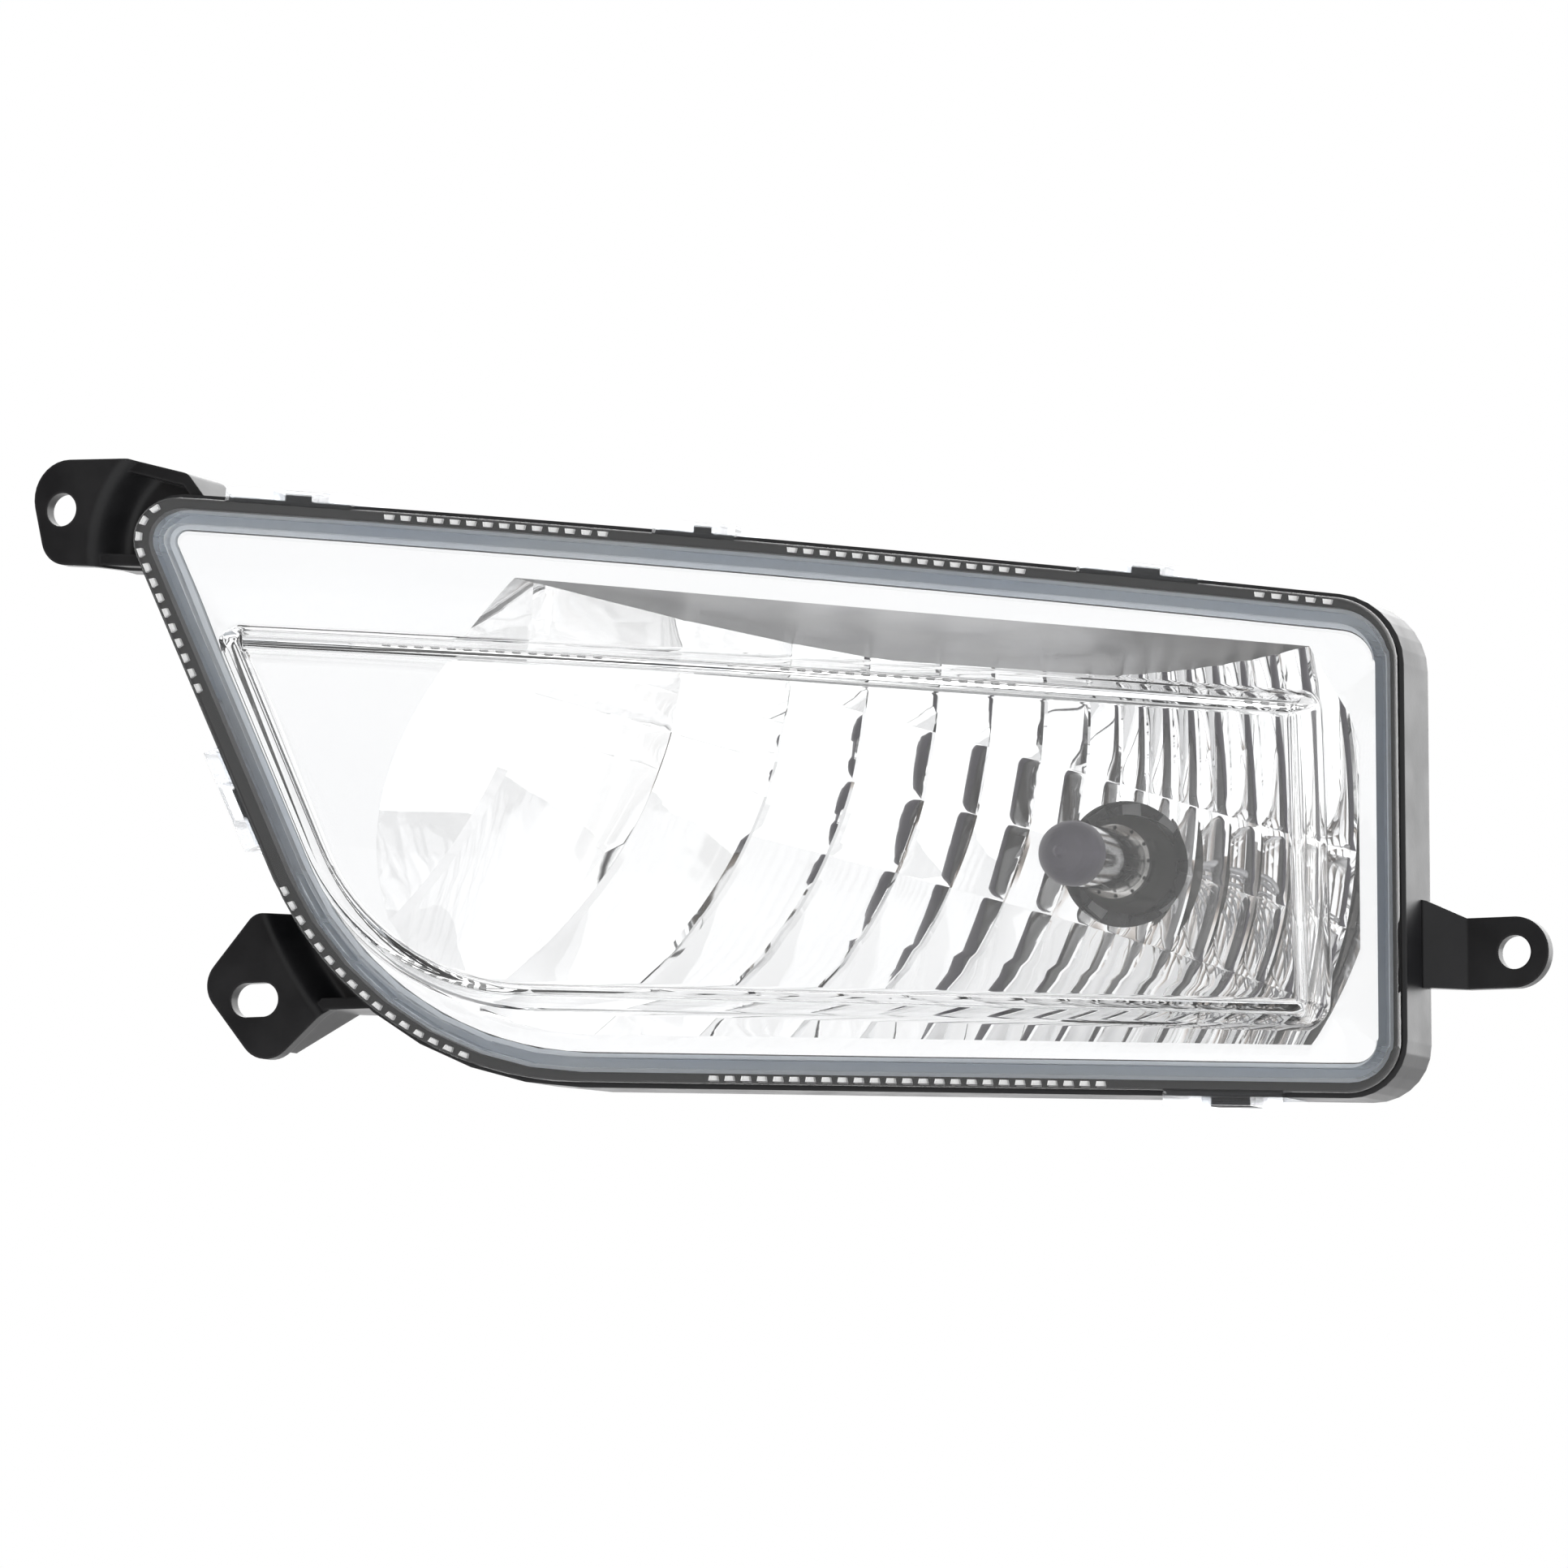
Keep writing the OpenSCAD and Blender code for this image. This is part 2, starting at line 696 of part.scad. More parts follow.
// The rounded nose of the bulb, turned about the axis, with its sealed-off pip.
module nose(r, back) {
    translate([bulb_x, dome_y, bulb_z]) rotate([90, 0, 0]) rotate_extrude() polygon(concat(
        [[0, -back]], [[r, -back]],
        [for (a = [0:10:70]) r * [cos(a), sin(a)]],
        [[r * 0.22, r * 1.0], [r * 0.12, r * 1.1], [0, r * 1.12]]
    ));
}

module bulb_glass() {
    color([0.95, 0.95, 0.95, 0.3]) difference() {
        nose(glass_r, glass_back - dome_y);
        nose(glass_r - glass_t, glass_back - dome_y - 5);
    }
}

module bulb_tip_coating() {
    color([0.28, 0.28, 0.31]) difference() {
        nose(glass_r + coat_t, coat_start - dome_y);
        nose(glass_r, coat_start - dome_y + 2);
    }
}

coil_r = 0.8;
coil_len = 5;
coil_stand = 25;                 // from the bowl's vertex forward to the low beam's coil
low_coil_y = vertex_y - coil_stand;
high_coil_y = low_coil_y + 7;

module low_beam_filament() {
    color([0.6, 0.6, 0.6]) translate([0, 0, 1.2]) on_axis(low_coil_y - coil_len, low_coil_y, coil_r);
}

module high_beam_filament() {
    color([0.6, 0.6, 0.6]) translate([0, 0, -1.2])
        on_axis(high_coil_y - coil_len, high_coil_y, coil_r);
}

// Support wires from the glass's sealed foot to the two ends of each coil.
module filament_leads() {
    lead_r = 0.4;
    hook_r = 0.3;
    foot = glass_back - 5;
    color([0.7, 0.7, 0.7])
        for (coil = [[1.2, low_coil_y, 3], [-1.2, high_coil_y, -3]], end = [0, 1]) {
            y = end == 0 ? coil[1] - coil_len - hook_r : coil[1] + hook_r;
            side = end == 0 ? coil[2] : -coil[2] * 0.5;
            translate([side, 0, coil[0]]) on_axis(y - lead_r - 0.3, foot, lead_r);
            translate([bulb_x + min(side, 0), y, bulb_z + coil[0]]) rotate([0, 90, 0])
                cylinder(r = hook_r, h = abs(side));
        }
}

housing();
outer_bracket();
upper_bracket();
lower_bracket();
lens();
lens_sealant();
reflector();
reflector_screws();
socket_ring();
vent_cap(upper_vent);  // upper_vent_cap
vent_cap(lower_vent);  // lower_vent_cap
vent_filters();
bulb_base();
bulb_seal_ring();
bulb_terminals();
bulb_focus_ring();
bulb_clamp_ring();
bulb_glass();
bulb_tip_coating();
low_beam_filament();
high_beam_filament();
filament_leads();
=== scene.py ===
import json
import math

import bpy
import bmesh
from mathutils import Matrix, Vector


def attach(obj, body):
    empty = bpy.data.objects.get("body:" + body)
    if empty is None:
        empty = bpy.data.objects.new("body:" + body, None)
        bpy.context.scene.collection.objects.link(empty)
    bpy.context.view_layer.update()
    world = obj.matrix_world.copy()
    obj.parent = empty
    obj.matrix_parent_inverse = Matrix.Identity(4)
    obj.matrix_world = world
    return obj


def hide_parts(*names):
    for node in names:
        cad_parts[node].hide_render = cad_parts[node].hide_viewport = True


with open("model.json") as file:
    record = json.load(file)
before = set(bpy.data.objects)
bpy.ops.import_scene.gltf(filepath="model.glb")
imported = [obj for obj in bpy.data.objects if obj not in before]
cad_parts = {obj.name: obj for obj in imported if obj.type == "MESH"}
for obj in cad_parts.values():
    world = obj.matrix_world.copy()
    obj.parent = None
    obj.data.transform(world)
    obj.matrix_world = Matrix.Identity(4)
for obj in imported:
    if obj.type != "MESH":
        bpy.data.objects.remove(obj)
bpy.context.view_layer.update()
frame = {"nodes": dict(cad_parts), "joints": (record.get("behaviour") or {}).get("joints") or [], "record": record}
scene = bpy.context.scene
MM = 0.001
CAD = frame["nodes"]

# ---- sizes, in millimetres, as in part.scad ----
LENS_W, OUTER_H, INNER_H, RAKE, TOP_BOW = 264.7, 101.1, 124.1, 51.9, 1.6
SWEEP = math.radians(24)
CORNER = Vector((-19.5, -14.0, -29.7))
LENS_CORNERS = [(-LENS_W, INNER_H), (RAKE - LENS_W, 3.0), (0.0, 0.0), (0.0, OUTER_H)]
LENS_RADII = [8.7, 69.0, 11.0, 13.3]
PANEL_CORNERS = [
    (22.7 - LENS_W, INNER_H - 28.6), (RAKE + 3.2 - LENS_W, 18.1), (-14.3, 13.8), (-16.1, OUTER_H - 19.7),
]
PANEL_RADII = [3.0, 51.0, 5.0, 3.0]
LENS_T, PANEL_H = 2.5, 6.5
LEG_IN, LEG_T, LEG_LEN = 3.1, 2.2, 6.0
PLATE_IN, PLATE_FRONT, PLATE_BACK = 6.6, -3.0, -5.0
BOWL_IN, BOWL_T = 10.2, 2.0
FOCAL_Z, FOCAL_OUTER, FOCAL_INNER = 30.0, 41.0, 32.5      # the bowl's curves, upright and to each side
INNER_FLATNESS = 0.013           # how much flatter the plain facet at the inner end is
SHELF_DRAFT = math.radians(9)
OPENING_R = 14.2
BEHIND_ALL, BEFORE_ALL = 80.0, -420.0      # y of faces that lie clear behind or in front of the lamp
TAB_T, TAB_HOLE_R = 3.0, 3.5
SLOT_LEN, SLOT_W = 11.0, 7.1

AXIS = Vector(frame["joints"][0]["pos_m"]) / MM      # the bulb's axis, at the reflector's vertex


# ---- outlines in the lens plane ----

def rounded_corner(before, at, after, radius, inset, steps):
    b, a, c = Vector(before), Vector(at), Vector(after)
    d1, d2 = (a - b).normalized(), (c - a).normalized()
    n1, n2 = Vector((-d1.y, d1.x)), Vector((-d2.y, d2.x))
    kept = max(radius - inset, 0.6)
    centre = a + (inset + kept) * (n1 + n2) / (1 + n1.dot(n2))
    start = math.atan2(-n1.y, -n1.x)
    turn = math.acos(n1.dot(n2))
    return [
        centre + kept * Vector((math.cos(start + turn * i / steps), math.sin(start + turn * i / steps)))
        for i in range(steps + 1)
    ]


def outline(corners, radii, inset=0.0, steps=16, top=20):
    points = []
    n = len(corners)
    for i in range(n):
        points += rounded_corner(corners[i - 1], corners[i], corners[(i + 1) % n], radii[i], inset, steps)
    last, first = points[-1], points[0]
    points += [last.lerp(first, i / top) for i in range(1, top)]
    return [p + Vector((0, bow(p.x, p.y))) for p in points]


def bow(u, v):
    """How far the slight bow of the lamp's top edge lifts a point of the lens plane."""
    return TOP_BOW * 4 * (-u / LENS_W) * (1 + u / LENS_W) * v / INNER_H


def lens_outline(inset=0.0, **kw):
    return outline(LENS_CORNERS, LENS_RADII, inset, **kw)


def panel_outline(inset=0.0, **kw):
    return outline(PANEL_CORNERS, PANEL_RADII, inset, **kw)


def drawn(p, w):
    """A point of the lens plane carried along the beam to height w, in millimetres."""
    return Vector((
        CORNER.x + p.x * math.cos(SWEEP),
        CORNER.y + p.x * math.sin(SWEEP) - w / math.cos(SWEEP),
        CORNER.z + p.y,
    ))


def outside(path, p):
    inside = False
    for i in range(len(path)):
        a, b = path[i], path[(i + 1) % len(path)]
        if (a.y > p.y) != (b.y > p.y) and p.x < a.x + (b.x - a.x) * (p.y - a.y) / (b.y - a.y):
            inside = not inside
    return not inside


def distance_to(path, p):
    best = 1e9
    for i in range(len(path)):
        a, b = path[i], path[(i + 1) % len(path)]
        d = b - a
        t = min(max((p - a).dot(d) / d.length_squared, 0), 1)
        best = min(best, (p - a - t * d).length)
    return best


# ---- mesh helpers ----

def new_object(name, verts, faces, scale=MM):
    mesh = bpy.data.meshes.new(name)
    mesh.from_pydata([tuple(Vector(v) * scale) for v in verts], [], faces)
    mesh.update()
    obj = bpy.data.objects.new(name, mesh)
    scene.collection.objects.link(obj)
    return obj


def loft(name, loops, caps=True):
    """A skin over loops that all have the same number of points; without caps it joins end to end."""
    n = len(loops[0])
    verts = [p for loop in loops for p in loop]
    faces = []
    pairs = [(i, i + 1) for i in range(len(loops) - 1)]
    if not caps:
        pairs.append((len(loops) - 1, 0))
    for i, j in pairs:
        for k in range(n):
            m = (k + 1) % n
            faces.append((i * n + k, i * n + m, j * n + m, j * n + k))
    if caps:
        faces.append(tuple(reversed(range(n))))
        faces.append(tuple(range((len(loops) - 1) * n, len(loops) * n)))
    obj = new_object(name, verts, faces)
    fix_normals(obj)
    return obj


def drawn_block(name, points, w0, w1):
    return loft(name, [[drawn(p, w) for p in points] for w in (w0, w1)])


def fix_normals(obj):
    bm = bmesh.new()
    bm.from_mesh(obj.data)
    bmesh.ops.recalc_face_normals(bm, faces=bm.faces)
    if bm.calc_volume(signed=True) < 0:
        bmesh.ops.reverse_faces(bm, faces=bm.faces)
    bm.to_mesh(obj.data)
    bm.free()


def apply_modifiers(obj):
    bpy.context.view_layer.update()
    graph = bpy.context.evaluated_depsgraph_get()
    mesh = bpy.data.meshes.new_from_object(obj.evaluated_get(graph), depsgraph=graph)
    old = obj.data
    obj.modifiers.clear()
    obj.data = mesh
    bpy.data.meshes.remove(old)


def boolean(obj, tool, operation):
    mod = obj.modifiers.new("b", "BOOLEAN")
    mod.operation = operation
    mod.solver = "MANIFOLD"
    mod.object = tool
    apply_modifiers(obj)
    bpy.data.objects.remove(tool)
    return obj


def smooth(obj, angle=30.0):
    mesh = obj.data
    mesh.polygons.foreach_set("use_smooth", [True] * len(mesh.polygons))
    mesh.set_sharp_from_angle(angle=math.radians(angle))


def cut_plane(obj, point, normal):
    """Keeps what lies behind the plane, and closes the cut."""
    bm = bmesh.new()
    bm.from_mesh(obj.data)
    geom = list(bm.verts) + list(bm.edges) + list(bm.faces)
    res = bmesh.ops.bisect_plane(
        bm, geom=geom, plane_co=Vector(point) * MM, plane_no=normal, clear_outer=True, dist=1e-7)
    edges = [e for e in res["geom_cut"] if isinstance(e, bmesh.types.BMEdge)]
    bmesh.ops.holes_fill(bm, edges=edges, sides=0)
    bmesh.ops.recalc_face_normals(bm, faces=bm.faces)
    bm.to_mesh(obj.data)
    bm.free()


def sheet_faces(n, m, flip=False):
    """Faces of a closed slab between two n by m grids of points, the second listed after the first."""
    k = n * m
    faces = []
    for i in range(n - 1):
        for j in range(m - 1):
            a, b, c, d = i * m + j, (i + 1) * m + j, (i + 1) * m + j + 1, i * m + j + 1
            faces += [(a, d, c, b), (a + k, b + k, c + k, d + k)]
    rim = [i * m for i in range(n)] + [(n - 1) * m + j for j in range(1, m)]
    rim += [i * m + m - 1 for i in range(n - 2, -1, -1)] + [j for j in range(m - 2, 0, -1)]
    for a, b in zip(rim, rim[1:] + rim[:1]):
        faces.append((a, b, b + k, a + k))
    return [(f[0], f[3], f[2], f[1]) for f in faces] if flip else faces


def rod(name, x, z, y0, y1, radius, sides=96):
    turns = [2 * math.pi * i / sides for i in range(sides)]
    return loft(name, [
        [Vector((x + radius * math.cos(a), y, z + radius * math.sin(a))) for a in turns] for y in (y0, y1)
    ])


# ---- the reflector ----

def lerp(x, x0, y0, x1, y1):
    t = min(max((x - x0) / (x1 - x0), 0.0), 1.0)
    return y0 + (y1 - y0) * t


def bowl(x, z):
    focal = FOCAL_OUTER if x > 0 else FOCAL_INNER
    """The reflector's surface: y from its vertex, for x and z from the bulb's axis."""
    beyond = max(0.0, SEAMS[1] - x)
    return INNER_FLATNESS * beyond ** 2 - x * x / (4 * focal) - z * z / (4 * FOCAL_Z)


def crease(x):
    """Height of the crease that crosses all the flutes near the bulb's axis."""
    return 1.6 - 0.317 * x


def seam_x(x0, off):
    """Where the flute seam that crosses the main crease at x0 runs, off above the crease."""
    if off >= 0:
        return x0 + lerp(x0, -25, 0.25, 35, 0.085) * off
    return x0 + lerp(x0, -25, 0.27, 35, 0.13) * off - lerp(x0, -25, 0.0016, 35, 0.004) * off * off


# where the seams between the flutes cross the main crease, from the bulb's axis
SEAMS = [-178, -100.4, -80.5, -64.7, -52.4, -40.5, -30.8, -20.7, -11.2, -3.6, 2.4, 8.8, 15.2, 23.0, 31.4,
         39.3, 47.5, 56, 66, 82]
TILTS = [0, 0.02, 0.07, 0.10, 0.12, 0.12, 0.12, 0.10, 0.08, 0.05, 0.02, 0]   # slope across each flute
ROWS = [-96, -18, -8.7, 0, 8.7, 16.2, 78]        # heights of the rows' edges above the crease
ROW_STEPS = [26, 4, 4, 4, 4, 24]
GROOVE_W, GROOVE_T = 0.3, 0.03                   # the fine grooves between the rows
FLUTE_STEPS, FACET_STEPS = 12, 30
SEAM_AT = 0.994                                  # the last station of a flute, just before its seam


def bulge(i, s, off, width):
    """How far a facet's face stands forward of the bowl."""
    if i == 0:
        return 0.0
    across = 1 - (2 * s - 1) ** 2
    rows = (-18, 0, 16.2) if i >= 3 else (-8.7, 0, 8.7)
    edges = (-60,) + rows + (60,)
    along = 0.0
    for j in range(4):
        if edges[j] <= off <= edges[j + 1]:
            t = (off - edges[j]) / (edges[j + 1] - edges[j])
            along = 4 * t * (1 - t) * (0.25 if j in (0, 3) else 0.14) * (2.2 if i < 5 else 1.0)
    lean = 0.25 + 0.02 * math.sin(2.1 * i) + (0.06 if i < 4 else 0.0)
    tilt = TILTS[min(i, len(TILTS) - 1)]
    calm = 1.0 - 0.6 * min(max((off - rows[2]) / 4, 0.0), 1.0) * min(max((11 - i) / 4, 0.0), 1.0)
    lean, tilt = lean * calm, tilt * calm
    if min(abs(off - row) for row in rows) < GROOVE_W / 2:
        along -= GROOVE_T
    return width * (lean / 4 * across - tilt * s) + along * min(1.0, 3 * across) * (width / 12) ** 0.5


def grid_solid(name, facets, shift):
    """All that lies in front of the reflector's surface, as a closed solid."""
    offs = []
    for j in range(len(ROWS) - 1):
        for k in range(ROW_STEPS[j]):
            offs.append(ROWS[j] + (ROWS[j + 1] - ROWS[j]) * k / ROW_STEPS[j])
            if k == 0 and j > 0:
                offs += [offs[-1] - GROOVE_W, offs[-1] + GROOVE_W]
    offs.append(ROWS[-1])
    offs.sort()
    cols = []
    for i in range(len(SEAMS) - 1):
        steps = FACET_STEPS if i == 0 else FLUTE_STEPS
        for k in range(steps):
            cols.append((i, k / steps))
        cols.append((i, SEAM_AT))
    pts = []
    for i, s in cols:
        for off in offs:
            a, b = seam_x(SEAMS[i], off), seam_x(SEAMS[i + 1], off)
            x = a + (b - a) * s
            z = crease(x) + off
            y = bowl(x, z) + shift
            if facets:
                y -= bulge(i, s, off, SEAMS[i + 1] - SEAMS[i])
            pts.append((AXIS.x + x, AXIS.y + y, AXIS.z + z))
    front = [(p[0], BEFORE_ALL, p[2]) for p in pts]
    obj = new_object(name, pts + front, sheet_faces(len(cols), len(offs)))
    fix_normals(obj)
    return obj


def slanted_prism(name, points, w_front, y_back):
    """A prism along the beam from the slanted plane at w_front back to the upright plane at y_back."""
    front = [drawn(p, w_front) for p in points]
    back = [Vector((q.x, y_back, q.z)) for q in front]
    return loft(name, [front, back])


shelf_along = Vector((math.cos(SWEEP), math.sin(SWEEP), (OUTER_H - INNER_H) / LENS_W)).normalized()
shelf_into = Vector((0, math.cos(SHELF_DRAFT), -math.sin(SHELF_DRAFT)))
shelf_up = shelf_along.cross(shelf_into).normalized()
if shelf_up.z < 0:
    shelf_up = -shelf_up


def shelf_point(lift):
    return drawn(Vector((-LENS_W / 2, (INNER_H + OUTER_H) / 2 - BOWL_IN + lift)), PLATE_FRONT)


def make_reflector():
    plate = drawn_block("reflector_mirror", lens_outline(PLATE_IN), PLATE_BACK, PLATE_FRONT)
    outer = slanted_prism("outer", lens_outline(BOWL_IN - BOWL_T), PLATE_FRONT - 0.2, BEHIND_ALL)
    cut_plane(outer, shelf_point(BOWL_T), shelf_up)
    boolean(outer, grid_solid("shell_back", False, BOWL_T), "INTERSECT")
    boolean(plate, outer, "UNION")
    inner = slanted_prism("inner", lens_outline(BOWL_IN), 4.0, BEHIND_ALL)
    cut_plane(inner, shelf_point(0), shelf_up)
    boolean(inner, grid_solid("shell_front", True, 0.0), "INTERSECT")
    boolean(plate, inner, "DIFFERENCE")
    boolean(plate, rod("hole", AXIS.x, AXIS.z, AXIS.y - 60, AXIS.y + 60, OPENING_R), "DIFFERENCE")
    smooth(plate, 5.0)
    for face in plate.data.polygons:
        if face.normal.dot(-shelf_up) > 0.9995:
            face.material_index = 1                  # the shelf's satin finish
    return plate


reflector = make_reflector()


# ---- the lens ----

TOP_SNAPS = [(0.14, 26, 7), (0.455, 17, 5), (0.8, 25, 7)]      # share of the top edge, loop length, hook width
HOOK_BACK, LOOP_LEN, LOOP_T, LIP, SLIP = -7.5, 11.0, 1.8, 0.9, 0.1


def top_point(share):
    u = -LENS_W * (1 - share)
    v = INNER_H + (OUTER_H - INNER_H) * share
    return Vector((u, v + bow(u, v)))


def snap_places():
    """Each snap loop's point on the lens edge, direction along the edge, length and hook width."""
    places = []
    for share, length, hook in TOP_SNAPS:
        along = (top_point(share + 0.02) - top_point(share - 0.02)).normalized()
        places.append((top_point(share), along, length, hook))
    left = Vector((-RAKE, INNER_H - 3)).normalized()
    places.append((Vector(LENS_CORNERS[1]) + left * (58 / left.y), left, 22, 7))
    bottom = Vector((RAKE - LENS_W, 3)).normalized()
    places.append((bottom * 36, bottom, 24.5, 9))
    return places


def edge_block(snap, t0, t1, m0, m1, w0, w1):
    """A block beside the lens edge: t runs along the edge, m out from it and w up from the lens plane."""
    at, d = snap[0], snap[1]
    out = Vector((-d.y, d.x))
    corners = [at + t * d + m * out for t, m in ((t0, m0), (t1, m0), (t1, m1), (t0, m1))]
    return drawn_block("block", corners, w0, w1)


NOTCH_GROUPS = [                 # first and last notch of each row, in the lens plane
    ((-207, 118), (-163, 115)), ((-124, 112), (-77, 108)), ((-28, 102), (-14, 100)),
    ((-256, 122), (-247, 83)), ((-229, 41), (-191, 8)), ((-140, 3), (-61, 1)),
]
NOTCH_PITCH, NOTCH_IN = 3.33, 1.2


def notch_blocks():
    """Short pockets moulded into the lens flange, in rows along its edge."""
    path = lens_outline(NOTCH_IN, steps=24, top=60)
    n = len(path)
    lengths = [(path[(i + 1) % n] - path[i]).length for i in range(n)]
    total = sum(lengths)
    starts = [sum(lengths[:i]) for i in range(n)]

    def station(p):
        best = (1e9, 0.0)
        for i in range(n):
            a, d = path[i], path[(i + 1) % n] - path[i]
            t = min(max((Vector(p) - a).dot(d) / d.length_squared, 0.0), 1.0)
            best = min(best, ((Vector(p) - a - t * d).length, starts[i] + t * lengths[i]))
        return best[1]

    def at(t):
        t %= total
        i = max(k for k in range(n) if starts[k] <= t)
        a, b = path[i], path[(i + 1) % n]
        return a.lerp(b, (t - starts[i]) / lengths[i]), (b - a).normalized()

    verts, faces = [], []
    for first, last in NOTCH_GROUPS:
        a, b = station(last), station(first)
        span = (b - a) % total
        if span > total / 2:
            a, b, span = b, a, total - span
        count = max(1, round(span / NOTCH_PITCH))
        for k in range(count + 1):
            p, d = at(a + span * k / count)
            out = Vector((-d.y, d.x))
            k0 = len(verts)
            for w in (LENS_T - 0.8, LENS_T + 0.4):
                for t, m in ((-0.95, -0.5), (0.95, -0.5), (0.75, 0.5), (-0.75, 0.5)):
                    verts.append(drawn(p + t * d + m * out, w))
            for q in ((0, 1, 2, 3), (7, 6, 5, 4), (0, 4, 5, 1), (1, 5, 6, 2), (2, 6, 7, 3), (3, 7, 4, 0)):
                faces.append(tuple(k0 + i for i in q))
    obj = new_object("notches", verts, faces)
    fix_normals(obj)
    return obj


def make_lens():
    edge_at, panel_at = lens_outline, panel_outline
    top = LENS_T + PANEL_H
    skin = [
        (panel_at(5.2), PANEL_H), (panel_at(4.6), PANEL_H - 0.15), (panel_at(4.1), PANEL_H - 0.6),
        (panel_at(2.0), 0.8), (panel_at(1.6), 0.25), (panel_at(0.9), 0.0),
        (edge_at(LEG_IN + LEG_T), 0.0), (edge_at(LEG_IN + LEG_T), -LEG_LEN),
        (edge_at(LEG_IN), -LEG_LEN), (edge_at(LEG_IN), 0.0),
        (edge_at(0.0), 0.0), (edge_at(0.0), 1.7), (edge_at(0.15), 2.2), (edge_at(0.5), LENS_T),
        (panel_at(-1.2), LENS_T), (panel_at(-0.6), LENS_T + 0.2), (panel_at(-0.1), LENS_T + 0.8),
        (panel_at(1.7), top - 0.9), (panel_at(2.1), top - 0.35), (panel_at(2.6), top - 0.08),
        (panel_at(3.2), top),
    ]
    obj = loft("lens_clear", [[drawn(p, w) for p in loop] for loop, w in skin])
    near, far = LIP + SLIP, LIP + SLIP + LOOP_T
    for snap in snap_places():
        half, gap = snap[2] / 2, snap[3] / 2 + 0.5
        for t0, t1 in ((-half, -gap), (gap, half)):
            boolean(obj, edge_block(snap, t0, t1, near, far, -LOOP_LEN, LENS_T - 0.1), "UNION")
        boolean(obj, edge_block(snap, -half, half, near, far, -LOOP_LEN, HOOK_BACK - 0.8), "UNION")
        boolean(obj, edge_block(snap, -half, half, -1, far, LENS_T / 3, LENS_T - 0.1), "UNION")
    boolean(obj, notch_blocks(), "DIFFERENCE")
    smooth(obj, 32)
    lens_n = Vector((math.sin(SWEEP), -math.cos(SWEEP), 0))
    band = lens_outline(NOTCH_IN)
    for face in obj.data.polygons:
        c = face.center / MM
        w = (c - CORNER).dot(lens_n)
        p = Vector(((c.x - CORNER.x) / math.cos(SWEEP), c.z - CORNER.z))
        edge = distance_to(band, p)
        if LENS_T - 0.85 < w < LENS_T - 0.2 and face.area < 4e-6 and edge < 0.75:
            face.material_index = 1                  # frosted pockets, their pale near-opaque colour a painted highlight
        elif edge > NOTCH_IN + 0.6 and w < LENS_T and outside(band, p):
            face.material_index = 2                  # loops, their grey tint painted shade
    return obj


lens = make_lens()


# ---- the two inner brackets, with the soft bends of the mouldings ----


def seen_from_front(points):
    return [Vector((CORNER.x + p.x * math.cos(SWEEP), CORNER.z + p.y)) for p in points]


LAMP_EDGE = seen_from_front(lens_outline())


def prism(points, y0, y1):
    return loft("prism", [[Vector((p.x, y, p.y)) for p in points] for y in (y0, y1)])


def rounded(corners, radii, steps=10):
    n = len(corners)
    points = []
    for i in range(n):
        points += rounded_corner(corners[i - 1], corners[i], corners[(i + 1) % n], radii[i], 0.0, steps)
    return points


def bent_sheet(region, y0, step, ridge, run):
    """A sheet over region whose front drops back by step within run of the lens, from ridge outside it."""
    xs, zs = [p.x for p in region], [p.y for p in region]
    pitch = 0.8
    nx, nz = int((max(xs) - min(xs)) / pitch) + 6, int((max(zs) - min(zs)) / pitch) + 6
    verts = []
    for back in (0.0, TAB_T):
        for i in range(nx):
            for j in range(nz):
                p = Vector((min(xs) - 2 * pitch + i * pitch, min(zs) - 2 * pitch + j * pitch))
                t = min(max((ridge - distance_to(LAMP_EDGE, p)) / run, 0.0), 1.0)
                soft = t * t * (3 - 2 * t)
                verts.append((p.x, y0 + step * soft + back, p.y))
    obj = new_object("sheet", verts, sheet_faces(nx, nz, flip=True))
    fix_normals(obj)
    boolean(obj, prism(region, y0 - 2, y0 + step + TAB_T + 2), "INTERSECT")
    return obj


def around(hole, *points):
    return [hole + Vector(p) for p in points]


def cut_by_housing(obj):
    boolean(obj, drawn_block("side", lens_outline(-LIP), -133.0, LENS_T + 2), "DIFFERENCE")


def make_upper_bracket():
    h = mount_point("upper_tab_hole")
    at, y0 = Vector((h.x, h.z)), h.y
    region = rounded(
        around(at, (-8.58, 10.9), (-3.6, -11.3), (42, -15.5), (36, -3), (29, 6), (15.5, 9.8)),
        [8, 6, 1, 1, 3, 2])
    obj = bent_sheet(region, y0, 6.0, 16.6, 7.5)
    strips = (
        around(at, (2, 7.6), (15.2, 7.2), (28, 3.6), (34, -4), (36, -3), (29.2, 6), (15.8, 9.7), (2, 10.4)),
        around(at, (0, -11.2), (42, -14.9), (42, -12.4), (0, -8.8)),
    )
    for strip in strips:
        flange = prism(strip, y0 + 1.5, y0 + 17)
        boolean(flange, prism(region, y0, y0 + 18), "INTERSECT")
        boolean(flange, prism(seen_from_front(lens_outline(-15.5)), y0, y0 + 18), "INTERSECT")
        boolean(obj, flange, "UNION")
    boolean(obj, rod("hole", h.x, h.z, y0 - 2, y0 + 5, TAB_HOLE_R), "DIFFERENCE")
    cut_by_housing(obj)
    obj.name = "upper_bracket_moulding"
    smooth(obj, 35)
    return obj


